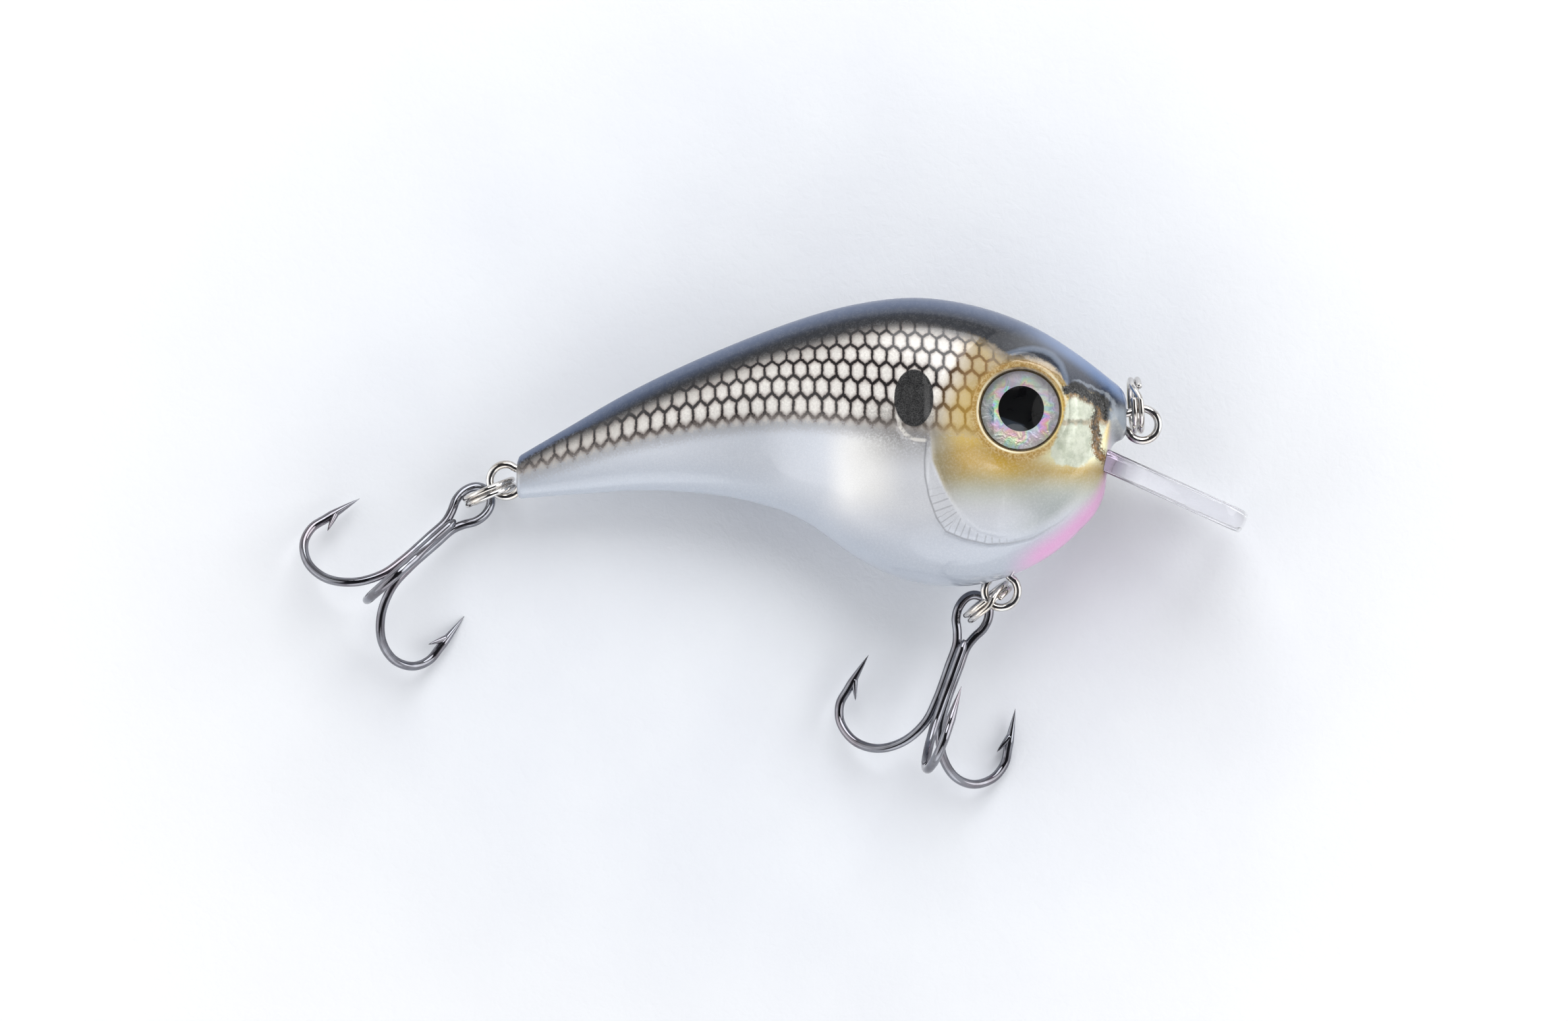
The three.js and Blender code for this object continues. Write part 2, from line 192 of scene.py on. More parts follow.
def calc(tree, operation, *values):
    node = tree.nodes.new("ShaderNodeMath")
    node.operation = operation
    for socket, value in zip(node.inputs, values):
        wire(tree, socket, value)
    return node.outputs[0]


def add(tree, a, b):
    return calc(tree, "ADD", a, b)


def less(tree, a, b):
    return calc(tree, "SUBTRACT", a, b)


def larger(tree, a, b):
    return calc(tree, "MAXIMUM", a, b)


def apart(tree, a, b):
    return calc(tree, "ABSOLUTE", less(tree, a, b))


def product(tree, first, *others):
    for other in others:
        first = calc(tree, "MULTIPLY", first, other)
    return first


def fade(tree, value, low, high, toLow=0.0, toHigh=1.0, curve="SMOOTHSTEP"):
    node = tree.nodes.new("ShaderNodeMapRange")
    node.interpolation_type = curve
    for name, v in (("Value", value), ("From Min", low), ("From Max", high), ("To Min", toLow),
                    ("To Max", toHigh)):
        wire(tree, node.inputs[name], v)
    return node.outputs["Result"]


def fadeOut(tree, value, low, high):
    return fade(tree, value, low, high, 1.0, 0.0)


def tint(tree, amount, under, over, mode="MIX"):
    node = tree.nodes.new("ShaderNodeMix")
    node.data_type = "RGBA"
    node.blend_type = mode
    wire(tree, node.inputs[0], amount)
    wire(tree, node.inputs[6], under)
    wire(tree, node.inputs[7], over)
    return node.outputs[2]


def read(tree, name):  # an attribute of the piece, as its x, y and z
    node = tree.nodes.new("ShaderNodeAttribute")
    node.attribute_name = name
    split = tree.nodes.new("ShaderNodeSeparateXYZ")
    tree.links.new(node.outputs["Vector"], split.inputs[0])
    return split.outputs


def speckle(tree, vector, scale, detail=2.0, roughness=0.5, distortion=0.0):
    node = tree.nodes.new("ShaderNodeTexNoise")
    for name, v in (("Vector", vector), ("Scale", scale), ("Detail", detail), ("Roughness", roughness),
                    ("Distortion", distortion)):
        wire(tree, node.inputs[name], v)
    return node.outputs["Fac"]


def atObject(tree):
    return tree.nodes.new("ShaderNodeTexCoord").outputs["Object"]


def raised(tree, height, strength, distance):
    node = tree.nodes.new("ShaderNodeBump")
    wire(tree, node.inputs["Height"], height)
    node.inputs["Strength"].default_value = strength
    node.inputs["Distance"].default_value = distance
    return node.outputs["Normal"]


def material(name, **settings):  # a Principled material: underscores stand for the spaces in a socket's name
    made = bpy.data.materials.new(name)
    made.use_nodes = True
    shader = made.node_tree.nodes["Principled BSDF"]
    for key, value in settings.items():
        shader.inputs[key.replace("_", " ")].default_value = value
    return made, made.node_tree, shader


# ---- camera, light and floor

camera = {"height": 500, "acrossSeen": 170, "over": Vector((29.07, -2.86, 0))}
seen = lure @ camera["over"]
cam = bpy.data.cameras.new("camera")
cam.lens = cam.sensor_width * camera["height"] / camera["acrossSeen"]
cam.clip_start = 0.01
cam.clip_end = 5
camObject = bpy.data.objects.new("camera", cam)
camObject.location = seen + Vector((0, 0, camera["height"] * mm))
bpy.context.scene.collection.objects.link(camObject)
bpy.context.scene.camera = camObject
bpy.context.scene.view_settings.view_transform = "Standard"

lights = [  # name, place in metres, size, watts, colour
    ("fromLeft", (-0.74, 0.08, 0.46), 1.2, 3.0, (1, 0.997, 0.99)),
    ("fromRight", (0.74, 0.12, 0.46), 0.8, 3.3, (1, 0.997, 0.99)),
    ("fromBack", (0.06, 0.64, 0.6), 0.7, 4.6, (0.99, 0.995, 1)),
    ("fromFront", (0.12, -0.76, 0.42), 0.9, 1.8, (0.99, 0.995, 1)),
]
for name, place, size, watts, colour in lights:
    lamp = bpy.data.lights.new(name, "AREA")
    lamp.shape = "DISK"
    lamp.size = size
    lamp.energy = watts
    lamp.color = colour
    lampObject = bpy.data.objects.new(name, lamp)
    lampObject.location = place
    lampObject.rotation_euler = (seen - Vector(place)).to_track_quat("-Z", "Y").to_euler()
    bpy.context.scene.collection.objects.link(lampObject)

world = bpy.data.worlds.new("studio")
world.use_nodes = True
bpy.context.scene.world = world
sky = world.node_tree
skyDirection = sky.nodes.new("ShaderNodeTexCoord").outputs["Generated"]
skySplit = sky.nodes.new("ShaderNodeSeparateXYZ")
sky.links.new(skyDirection, skySplit.inputs[0])
skyRamp = sky.nodes.new("ShaderNodeValToRGB")
# dark straight above, where the camera is
skyStops = [(0, (0.85, 0.85, 0.86)), (0.2, (0.95, 0.96, 0.98)), (0.42, (1, 1, 1.01)),
            (0.56, (0.55, 0.55, 0.56)), (0.7, (0.13, 0.13, 0.14)), (0.88, (0.035, 0.035, 0.04))]
for _ in skyStops[2:]:
    skyRamp.color_ramp.elements.new(0.5)
for stop, (at, colour) in zip(skyRamp.color_ramp.elements, skyStops):
    stop.position = at
    stop.color = (*colour, 1)
sky.links.new(skySplit.outputs[2], skyRamp.inputs[0])
sky.links.new(skyRamp.outputs[0], sky.nodes["Background"].inputs[0])
behindBack = fade(sky, skySplit.outputs[1], 0.15, 0.6, 1.12, 0.55)
sky.links.new(behindBack, sky.nodes["Background"].inputs[1])

paper, tree, shader = material("paper", Roughness=0.85, Specular_IOR_Level=0.25)
place = atObject(tree)
fibres = speckle(tree, place, 900, 4, 0.6, 0.4)
mottle = speckle(tree, place, 60, 3)
paperToneAndShade = tint(tree, fade(tree, mottle, 0.35, 0.65, curve="LINEAR"), srgb(233, 236, 242), srgb(237, 240, 245))
spread = tree.nodes.new("ShaderNodeVectorMath")
spread.operation = "DISTANCE"
tree.links.new(place, spread.inputs[0])
spread.inputs[1].default_value = seen
# painted shade: the paper is darker close to the lure and lighter farther out
paperToneAndShade = tint(tree, fade(tree, spread.outputs["Value"], 0.035, 0.105), paperToneAndShade, srgb(252, 252, 252))
tree.links.new(paperToneAndShade, shader.inputs["Base Color"])
tree.links.new(raised(tree, fibres, 0.35, 0.0002), shader.inputs["Normal"])
bm = bmesh.new()
bmesh.ops.create_grid(bm, x_segments=2, y_segments=2, size=2)
floor = bpy.data.objects.new("floor", meshFrom(bm, "floor", Matrix.Identity(4), False))
floor.data.materials.append(paper)
bpy.context.scene.collection.objects.link(floor)
print("camera, light and floor")

# ---- the body's form, in the lure's own frame

body = {
    "length": 66.1, "power": 2.2, "seamGap": 0.1, "wall": 0.9, "stations": 250, "round": 180,
    "tailRound": 0.45, "noseRound": 1.0,
}
backLine = curveThrough([(0, 3), (5, 5.9), (12, 9.9), (20, 13.7), (30, 17.6), (37, 19.5), (43.5, 20.15),
                         (50, 19.2), (56, 17), (61, 13.9), (66.1, 9.9)])
bellyLine = curveThrough([(0, -1.6), (6, -1.15), (14, -0.7), (22, -1.25), (28.5, -2.8), (32, -4.5),
                          (37, -8), (42, -10.3), (47, -11.1), (52, -10.45), (57, -8.3), (61, -5.1),
                          (63.7, -1.3), (64.4, 3.6), (66.1, 4.8)])
backWidth = curveThrough([(0, 1.7), (10, 2.7), (20, 4), (30, 5.6), (40, 7.3), (50, 8.5), (56, 8.3), (61, 6.3),
                          (64.5, 4.1), (66.1, 2.9)])
bellyWidth = curveThrough([(0, 1.7), (10, 2.6), (20, 3.6), (28, 4.6), (32, 6), (37, 8.4), (43, 9.3),
                           (50, 9.38), (56, 8.8), (61, 6.6), (64.5, 4.2), (66.1, 2.9)])
eye = {"x": 54.9, "y": 7.8, "rim": 8.5, "sunk": 7.0, "lens": 4.15, "lensFoot": 8.4, "lensRise": 0.95}

# The gill cover's edge, the line behind it, and the small crease below the gill spot
gillEdge = [(44.9, 5.2), (45.1, 2.6), (46.2, -0.1), (47.2, -2), (48.5, -4), (50.1, -5.3), (52.4, -5.9),
            (55, -5.8)]
gillBack = [(44.5, 4.7), (44.3, 2.6), (44.35, 0.9), (44.8, -1.4), (45.6, -3.65), (46.6, -5.1), (48.5, -5.9),
            (51.1, -6.5), (53.4, -6.4), (56, -5.86), (59.2, -4), (61.2, -2), (62.6, 0.3)]
spotCrease = [(41.33, 7.56), (41.66, 6.24), (42.3, 5.37), (43.2, 4.86), (44.4, 4.75)]
# The bright patch on the snout, its tarnished front line, the black line over it and the band across it
patchOutline = [(59.9, 9.6), (60.6, 10.5), (62, 9.9), (63.5, 9), (64.2, 8), (64.1, 6.5), (63.6, 4.6),
                (62.9, 3.1), (62, 2.2), (60.5, 1.7), (58.6, 2.2), (57.9, 3.3), (58.6, 5.5), (59.3, 7),
                (59.5, 8.5), (59.9, 9.6)]
tarnish = [(63.4, 9), (63.1, 7.6), (62.7, 6.4), (63, 5.3), (62.9, 4.1), (63.3, 3.2), (64.1, 2.5)]
blackLine = [(59.8, 10.2), (60.8, 10.4), (62.1, 9.7), (63.3, 9.2), (64, 8.5), (64.1, 7.2)]
browLine = [(52, 13.2), (53.2, 14), (54.7, 14.5), (56, 14.7), (57.2, 14.5), (58.2, 14), (59.1, 13),
            (59.6, 11.6), (59.8, 9.9)]
scaleTop = curveThrough([(0, 2.1), (2, 3.3), (5, 4.95), (10, 7.1), (14, 9), (20, 11.5), (27, 14.3),
                         (34, 16.3), (38, 17.3), (42, 17.8), (46, 17.3), (49.5, 16.3), (51.7, 15.2),
                         (53.2, 14.2), (54.7, 13.9), (56.2, 13.7), (57.8, 13.1), (59, 12), (59.8, 10.7),
                         (60.8, 10.7), (62.1, 10.1), (63.6, 9.3), (64.6, 8), (66.1, 5.5)])
scaleFoot = curveThrough([(0, 0.7), (5, 2.1), (10, 3.6), (15, 4.8), (20, 5.7), (25, 6.3), (30, 6.55),
                          (35, 6.3), (40, 5.8), (46, 5.3), (52, 4.6), (66, 2)])
scale = {"tailWidth": 1.36, "width": 1.55, "settled": 14, "pitch": 2.27}


def columnAt(x):  # how many scales lie between the tail and x
    near = min(x, scale["settled"])
    mean = mix(scale["tailWidth"], scale["width"], near / scale["settled"] / 2)
    return near / mean + max(x - scale["settled"], 0) / scale["width"]


def rowAt(x, y):  # how many rows of scales lie under y; they close up over the shoulder
    above, tall = y - scaleFoot(x), scaleTop(x) - scaleFoot(x)
    return 0.1 + above / scale["pitch"] + smooth(3, 9, tall) * max(above / max(tall, 1), 0) ** 3


flatFrom = tipped @ camera["over"]


def flat(x, y, z):  # where a point of the flank falls on a flat side view, in which the paint is laid out
    at = tipped @ Vector((x, y, z)) - flatFrom
    spread = camera["height"] / (camera["height"] - at.z)
    return camera["over"].x + at.x * spread, camera["over"].y + at.y * spread


def relief(trueX, trueY, z):  # how far the flank's details stand out, in millimetres
    x, y = flat(trueX, trueY, z)
    offBrow, alongBrow = fromLine(x, y, browLine)
    brow = 0.42 * bump(offBrow, 0.7) * smooth(0, 0.2, alongBrow) * (1 - smooth(0.9, 1, alongBrow))
    edge, along = fromLine(x, y, gillEdge)
    cover = 0.32 * smooth(-0.05, 0.35, edge) * bump(max(edge, 0), 5) * (1 - smooth(0.8, 1, along))
    back, alongBack = fromLine(x, y, gillBack)
    groove = -0.16 * bump(back, 0.17) * (1 - smooth(0.72, 0.98, alongBack)) * smooth(0, 0.04, alongBack)
    crease, alongCrease = fromLine(x, y, spotCrease)
    spot = -0.1 * bump(crease, 0.2) * smooth(0, 0.2, alongCrease) * (1 - smooth(0.7, 1, alongCrease))
    hollow = -0.3 * bump(math.hypot((x - 61.6) / 1.2, y - 6.5), 3)
    return brow + cover + groove + spot + hollow


def sectionPoint(x, side, up):
    ends = [(body["tailRound"], x), (body["noseRound"], body["length"] - x)]
    inset = sum(r - math.sqrt(r * r - (r - min(d, r)) ** 2) for r, d in ends)
    spread = lambda v: math.copysign(abs(v) ** (2 / body["power"]), v)
    height = spread(up)
    width = mix(backWidth(x), bellyWidth(x), 1 - smooth(-0.35, 0.4, height)) - inset
    y = mix(bellyLine(x) + inset, backLine(x) - inset, (height + 1) / 2)
    z = width * abs(spread(side))
    facing = smooth(0.1, 0.6, abs(side))
    fromEye = math.hypot(x - eye["x"], y - eye["y"])
    detail = relief(x, y, z)
    z += detail * facing
    z = mix(z, eye["rim"] + detail * smooth(4.4, 5.2, fromEye), 1 - smooth(5.0, 8.8, fromEye))
    z = mix(eye["sunk"], z, smooth(4.35, 4.6, fromEye))
    return Vector((x, y, math.copysign(z, side) if side else 0))


def snoutPlan(x, y):  # how deep inside the bright patch, and how far from the tarnish and the black line
    if x < 56:
        return -9, 9, 9
    away, _ = fromLine(x, y, patchOutline)
    crossings = 0
    for (ax, ay), (bx, by) in zip(patchOutline, patchOutline[1:]):
        if (ay > y) != (by > y) and x < ax + (y - ay) / (by - ay) * (bx - ax):
            crossings += 1
    inside = abs(away) if crossings % 2 else -abs(away)
    return inside, abs(fromLine(x, y, tarnish)[0]), abs(fromLine(x, y, blackLine)[0])


def paintPlan(trueX, trueY, z):  # what the paint follows, for each point of a flank
    x, y = flat(trueX, trueY, z)
    eyeX, eyeY = trueX - eye["x"], trueY - eye["y"]
    edge, along = fromLine(x, y, gillEdge)
    back, alongBack = fromLine(x, y, gillBack)
    crease, _ = fromLine(x, y, spotCrease)
    return {
        "flank": (x, y, abs(fromLine(x, y, browLine)[0])),
        "scales": (columnAt(x), rowAt(x, y), scaleTop(x) - y),
        "edges": (backLine(trueX) - trueY, trueY - bellyLine(trueX), abs(crease)),
        "aroundEye": (eyeX, eyeY, math.hypot(eyeX, eyeY)),
        "gill": (edge, back, alongBack),
        "snout": snoutPlan(x, y),
    }


def writePlan(mesh, plan):
    rows = {}
    for v in mesh.vertices:
        for name, value in plan(v.co).items():
            rows.setdefault(name, []).extend(value)
    for name, values in rows.items():
        mesh.attributes.new(name, "FLOAT_VECTOR", "POINT").data.foreach_set("vector", values)


def skinMesh():  # the right flank's skin, in the lure's own millimetres
    bm = bmesh.new()
    bmesh.ops.create_grid(bm, x_segments=body["stations"], y_segments=body["round"], size=1)
    endStep = 2 / body["stations"]
    for v in bm.verts:
        along = min(max(v.co.x / (1 - endStep * 1.01), -1), 1)
        x = body["length"] * mix((along + 1) / 2, smooth(-1, 1, along), 0.3)
        angle = math.pi * v.co.y / 2 * 1.06
        atEnd = abs(v.co.x) > 1 - endStep / 2  # the outermost station closes the end flat
        v.co = sectionPoint(x, math.cos(angle), math.sin(angle))
        if atEnd:
            v.co.z = 0
    bmesh.ops.bisect_plane(bm, geom=bm.verts[:] + bm.edges[:] + bm.faces[:], dist=1e-5,
                           plane_co=(0, 0, body["seamGap"] / 2), plane_no=(0, 0, 1), clear_inner=True)
    bmesh.ops.recalc_face_normals(bm, faces=bm.faces)
    if sum(f.normal.z for f in bm.faces) < 0:
        bmesh.ops.reverse_faces(bm, faces=bm.faces)
    mesh = bpy.data.meshes.new("skin")
    bm.to_mesh(mesh)
    bm.free()
    writePlan(mesh, lambda co: paintPlan(*co))
    return mesh


# a copy laid on the right flank (side 1) or the left (-1)
def onFlank(mesh, name, side, place=Matrix.Identity(4)):
    laid = mesh.copy()
    laid.name = name
    laid.transform(lure @ Matrix.Scale(side, 4, (0, 0, 1)) @ place)
    if side < 0:
        laid.flip_normals()
    laid.shade_smooth()
    return laid


def spunMesh(profile, steps, shape=None):  # (radius, height) pairs turned about the eye's axis
    bm = bmesh.new()
    line = [bm.verts.new((r, 0, h)) for r, h in profile]
    edges = [bm.edges.new(pair) for pair in zip(line, line[1:])]
    if profile[0][0] > 0:
        edges.append(bm.edges.new((line[-1], line[0])))
    bmesh.ops.spin(bm, geom=line + edges, cent=(0, 0, 0), axis=(0, 0, 1), angle=2 * math.pi, steps=steps,
                   use_merge=True)
    bmesh.ops.remove_doubles(bm, verts=bm.verts, dist=1e-4)
    bmesh.ops.recalc_face_normals(bm, faces=bm.faces)
    if shape:
        for v in bm.verts:
            v.co.z = shape(v.co)
    mesh = bpy.data.meshes.new("spun")
    bm.to_mesh(mesh)
    bm.free()
    writePlan(mesh, lambda co: paintPlan(co.x + eye["x"], co.y + eye["y"], co.z))
    return mesh


def hexCells(tree, column, row):  # how far inside its scale a point is: 0 at an edge, 0.5 in the middle
    steep = 0.8660254  # the sine of 60 degrees
    tall = 1.7320508
    up = calc(tree, "MULTIPLY", row, steep)
    found = []
    for shift in (0.0, 0.5):
        gx = less(tree, calc(tree, "FRACT", add(tree, column, shift + 40)), 0.5)
        turns = calc(tree, "FRACT", calc(tree, "DIVIDE", add(tree, up, (shift + 20) * tall), tall))
        gy = calc(tree, "MULTIPLY", less(tree, turns, 0.5), tall)
        ax, ay = calc(tree, "ABSOLUTE", gx), calc(tree, "ABSOLUTE", gy)
        slant = add(tree, calc(tree, "MULTIPLY", ax, 0.5), calc(tree, "MULTIPLY", ay, steep))
        found.append(larger(tree, ax, slant))
    return less(tree, 0.5, calc(tree, "MINIMUM", *found))


# scales in rows: Inside is 0 on the outlines and 1 in the middle, Outline is the painted line
def scaleGroup():
    group = bpy.data.node_groups.new("scaleRows", "ShaderNodeTree")
    for name in ("Column", "Row", "Line"):
        group.interface.new_socket(name, in_out="INPUT", socket_type="NodeSocketFloat")
    for name in ("Inside", "Outline"):
        group.interface.new_socket(name, in_out="OUTPUT", socket_type="NodeSocketFloat")
    source, target = group.nodes.new("NodeGroupInput"), group.nodes.new("NodeGroupOutput")
    inside = hexCells(group, source.outputs["Column"], source.outputs["Row"])
    line = source.outputs["Line"]
    group.links.new(fade(group, inside, 0.02, 0.3), target.inputs["Inside"])
    group.links.new(fadeOut(group, inside, line, calc(group, "MULTIPLY", line, 2.6)),
                    target.inputs["Outline"])
    return group


def paintMaterial():
    made, tree, shader = material("lurePaint", Specular_IOR_Level=0.15, Coat_Weight=1.0, Coat_Roughness=0.1,
                                  Coat_IOR=1.5)
    place = atObject(tree)
    x, y, offBrow = read(tree, "flank")
    column, row, underTop = read(tree, "scales")
    fromBack, fromBelly, crease = read(tree, "edges")
    gillIn, gillOut, gillAlong = read(tree, "gill")
    inPatch, offTarnish, offBlack = read(tree, "snout")
    eyeX, eyeY, eyeR = read(tree, "aroundEye")
    eyeTurn = calc(tree, "ARCTAN2", eyeY, eyeX)
    grain = speckle(tree, place, 9000, 1, 0.5)
    soot = speckle(tree, place, 4200, 3, 0.7)
    patches = speckle(tree, place, 900, 3, 0.6)
    clouds = speckle(tree, place, 260, 3)
    wobble = less(tree, patches, 0.5)
    sootWobble = less(tree, soot, 0.5)

    # pearl, bluer towards the tail and along the underside, with painted shade darkening the underside
    colour = tint(tree, fade(tree, x, 12, 26), srgb(222, 227, 236), srgb(202, 207, 216))
    shadedChest = tint(tree, fade(tree, y, -7, -2), srgb(188, 194, 205), srgb(216, 218, 223))
    colour = tint(tree, fade(tree, x, 32, 37), colour, shadedChest)
    # painted shade: darker and bluer towards the belly's lower edge
    colour = tint(tree, fade(tree, fromBelly, 0, 5, 0.8, 0.0), colour, srgb(176, 185, 198))
    # a painted highlight on the belly's left slope
    glint = product(tree, fade(tree, x, 33, 37), fadeOut(tree, x, 38.5, 43), fade(tree, y, -4, 0),
                    fadeOut(tree, y, 4, 7))
    colour = tint(tree, product(tree, glint, 0.8), colour, srgb(250, 249, 246))

    # the scales, fading out at their foot
    rows = tree.nodes.new("ShaderNodeGroup")
    rows.node_tree = scaleRows
    wire(tree, rows.inputs["Column"], add(tree, column, product(tree, wobble, 0.2)))
    wire(tree, rows.inputs["Row"], add(tree, row, product(tree, wobble, 0.16)))
    wire(tree, rows.inputs["Line"], fade(tree, soot, 0.3, 0.7, 0.03, 0.065, "LINEAR"))
    slanted = add(tree, x, product(tree, less(tree, 8, y), 0.42))
    headward = fade(tree, slanted, 44, 48.6)
    cell = tint(tree, fade(tree, underTop, 0.3, 3.2), srgb(180, 176, 170), srgb(244, 241, 235))
    cell = tint(tree, headward, cell, srgb(208, 190, 148))
    rim = tint(tree, headward, srgb(150, 138, 132), srgb(192, 160, 100))
    cell = tint(tree, fade(tree, soot, 0.35, 0.65, 0.0, 0.3), cell, rim)
    scaled = tint(tree, rows.outputs["Inside"], rim, cell)
    line = tint(tree, headward, srgb(14, 6, 5), srgb(122, 78, 24))
    line = tint(tree, fade(tree, underTop, 0.8, 2.6), srgb(16, 10, 9), line)
    rowsUp = add(tree, row, product(tree, sootWobble, 0.9))
    outline = product(tree, rows.outputs["Outline"], fade(tree, rowsUp, 0.0, 0.9, 0.15, 1.0))
    scaled = tint(tree, outline, scaled, line)
    scaleEnd = fadeOut(tree, add(tree, x, product(tree, wobble, 2)), 50.8, 53.2)
    overEye = product(tree, fade(tree, y, 12.1, 12.6), fade(tree, x, 56, 58.5, 0.8, 0.0))
    scaleEnd = larger(tree, scaleEnd, overEye)
    scaleArea = product(tree, fade(tree, rowsUp, 0.0, 0.4), scaleEnd)
    foot = product(tree, fade(tree, rowsUp, -0.5, 0.1), fadeOut(tree, rowsUp, 0.1, 0.9), scaleEnd)
    scaled = tint(tree, fadeOut(tree, less(tree, underTop, sootWobble), 0.15, 1.5), scaled, srgb(36, 34, 35))
    colour = tint(tree, scaleArea, colour, scaled)
    colour = tint(tree, product(tree, foot, 0.45), colour, srgb(112, 106, 102))

    # a sooty haze under the scales ahead of the belly, and between the scales and the gill cover
    haze = product(tree, fade(tree, x, 35, 42), fadeOut(tree, x, 44.5, 47.5), fade(tree, y, 0.6, 5.4),
                   fadeOut(tree, y, 7.4, 10), fade(tree, soot, 0.25, 0.7, 0.4, 1.0))
    colour = tint(tree, product(tree, haze, 0.8), colour, srgb(92, 86, 80))

    # gold over the cheek and round the eye, olive below it and towards the chin
    cheek = product(tree, fade(tree, slanted, 44.6, 48), fade(tree, y, -3.6, 1.4))
    behind = fade(tree, gillIn, -0.15, 0.25)
    cheek = product(tree, cheek, tint(tree, fade(tree, y, 5, 6), behind, (1,) * 4))
    gold = tint(tree, fade(tree, y, -1.8, 2.6), srgb(180, 184, 154), srgb(184, 148, 44))
    gold = tint(tree, product(tree, fade(tree, x, 55, 59), fade(tree, y, 1.2, 3.2)), gold,
                srgb(232, 232, 190))
    gold = tint(tree, fade(tree, y, 3.4, 6), gold, srgb(232, 198, 98))
    gold = tint(tree, fade(tree, y, 9, 12), gold, srgb(156, 132, 84))
    gold = tint(tree, fade(tree, x, 45.2, 49.5), srgb(150, 138, 104), gold)
    strength = product(tree, cheek, fade(tree, clouds, 0.3, 0.7, 0.85, 1.0),
                       less(tree, 1.0, product(tree, scaleArea, 0.62)))
    colour = tint(tree, strength, colour, gold)

    # greenish-grey over the lower jaw: partly its own tinge, partly painted shade where the jaw turns under
    jawShade = product(tree, fade(tree, x, 52, 59), fade(tree, gillOut, 0.0, 1.6), fadeOut(tree, y, -3, 1.6))
    colour = tint(tree, product(tree, jawShade, 0.75), colour, srgb(134, 144, 142))

    # the moulded edge round the eye: a brown line of painted shade where the lip drops to the lens, then
    # gold, with painted highlights where it catches the light on the left and the right
    rimGold = product(tree, fade(tree, eyeR, 4.5, 4.7), fadeOut(tree, eyeR, 4.9, 5.7), 0.8)
    colour = tint(tree, rimGold, colour,
                  tint(tree, fade(tree, soot, 0.4, 0.6), srgb(176, 134, 62), srgb(208, 178, 112)))
    leftLit = fade(tree, calc(tree, "COSINE", add(tree, eyeTurn, 2.75)), 0.0, 0.75)
    rightLit = fade(tree, calc(tree, "COSINE", less(tree, eyeTurn, 0.3)), 0.55, 0.95)
    leftHighlight = product(tree, leftLit, fadeOut(tree, apart(tree, eyeR, 4.55), 0.05, 0.16))
    rightHighlight = product(tree, rightLit, fadeOut(tree, apart(tree, eyeR, 4.95), 0.05, 0.2))
    colour = tint(tree, product(tree, larger(tree, leftHighlight, rightHighlight), 0.85), colour, srgb(250, 240, 206))
    colour = tint(tree, fade(tree, eyeR, 4.36, 4.46, 0.8, 0.0), colour, srgb(66, 50, 24))

    # pink along the throat
    throat = product(tree, fade(tree, x, 52.5, 57.5), fadeOut(tree, x, 63.8, 65.4),
                     fadeOut(tree, fromBelly, 0.4, 3.2))
    colour = tint(tree, product(tree, throat, 0.9), colour, srgb(234, 156, 212))

    # the bright patch, its tarnish and the ragged line over it
    ragged = add(tree, inPatch, product(tree, wobble, 1.1))
    patchArea = fade(tree, ragged, -0.12, 0.28)
    foil = tint(tree, fade(tree, patches, 0.35, 0.65), srgb(184, 191, 170), srgb(212, 217, 198))
    colour = tint(tree, patchArea, colour, foil)
    tarnishArea = fadeOut(tree, add(tree, offTarnish, product(tree, sootWobble, 1.4)), 0.28, 0.72)
    topEdge = fadeOut(tree, add(tree, offBlack, product(tree, wobble, 1.2)), 0.7, 1.3)
    topTarnish = product(tree, topEdge, patchArea, fade(tree, soot, 0.3, 0.5))
    offBand = apart(tree, add(tree, y, wobble), 6.75)
    band = product(tree, patchArea, fadeOut(tree, offBand, 0.1, 0.45), 0.55)
    rust = larger(tree, larger(tree, tarnishArea, topTarnish), band)
    colour = tint(tree, product(tree, rust, 0.95), colour,
                  tint(tree, fade(tree, patches, 0.35, 0.65), srgb(30, 18, 2), srgb(142, 98, 26)))

    # the back: darkest beside the scales, slate above, with a painted reflection lightening it towards its
    # edge
    nose = fade(tree, x, 54, 60)
    ripple = add(tree, product(tree, sootWobble, 0.9), product(tree, wobble, 0.5))
    backArea = fade(tree, less(tree, ripple, underTop), -0.3, 0.25)
    slateAndSheen = tint(tree, fade(tree, fromBack, 0.3, 2.3), srgb(80, 94, 122), srgb(20, 24, 32))
    slateAndSheen = tint(tree, nose, slateAndSheen,
                 tint(tree, fade(tree, fromBack, 0.5, 2), srgb(92, 118, 160), srgb(14, 28, 50)))
    # a painted highlight along the brow ridge
    slateAndSheen = tint(tree, fade(tree, offBrow, 0.1, 0.5, 0.35, 0.0), slateAndSheen, srgb(150, 166, 190))
    colour = tint(tree, backArea, colour, slateAndSheen)
    # a painted highlight: a light line above the black line on the snout
    overLineHighlight = apart(tree, add(tree, offBlack, product(tree, wobble, 0.7)), 0.85)
    overLineHighlight = fadeOut(tree, overLineHighlight, 0.06, 0.22)
    overLineHighlight = product(tree, overLineHighlight, backArea, fade(tree, x, 60, 61))
    colour = tint(tree, product(tree, overLineHighlight, 0.4), colour, srgb(170, 180, 190))
    black = fadeOut(tree, add(tree, offBlack, product(tree, wobble, 1.3)), 0.42, 0.8)
    colour = tint(tree, black, colour, srgb(20, 20, 16))
    front = product(tree, fade(tree, x, 63.9, 64.7), fadeOut(tree, y, 7.5, 9), fade(tree, y, 0.5, 2))
    colour = tint(tree, product(tree, front, 0.92), colour, srgb(144, 154, 164))

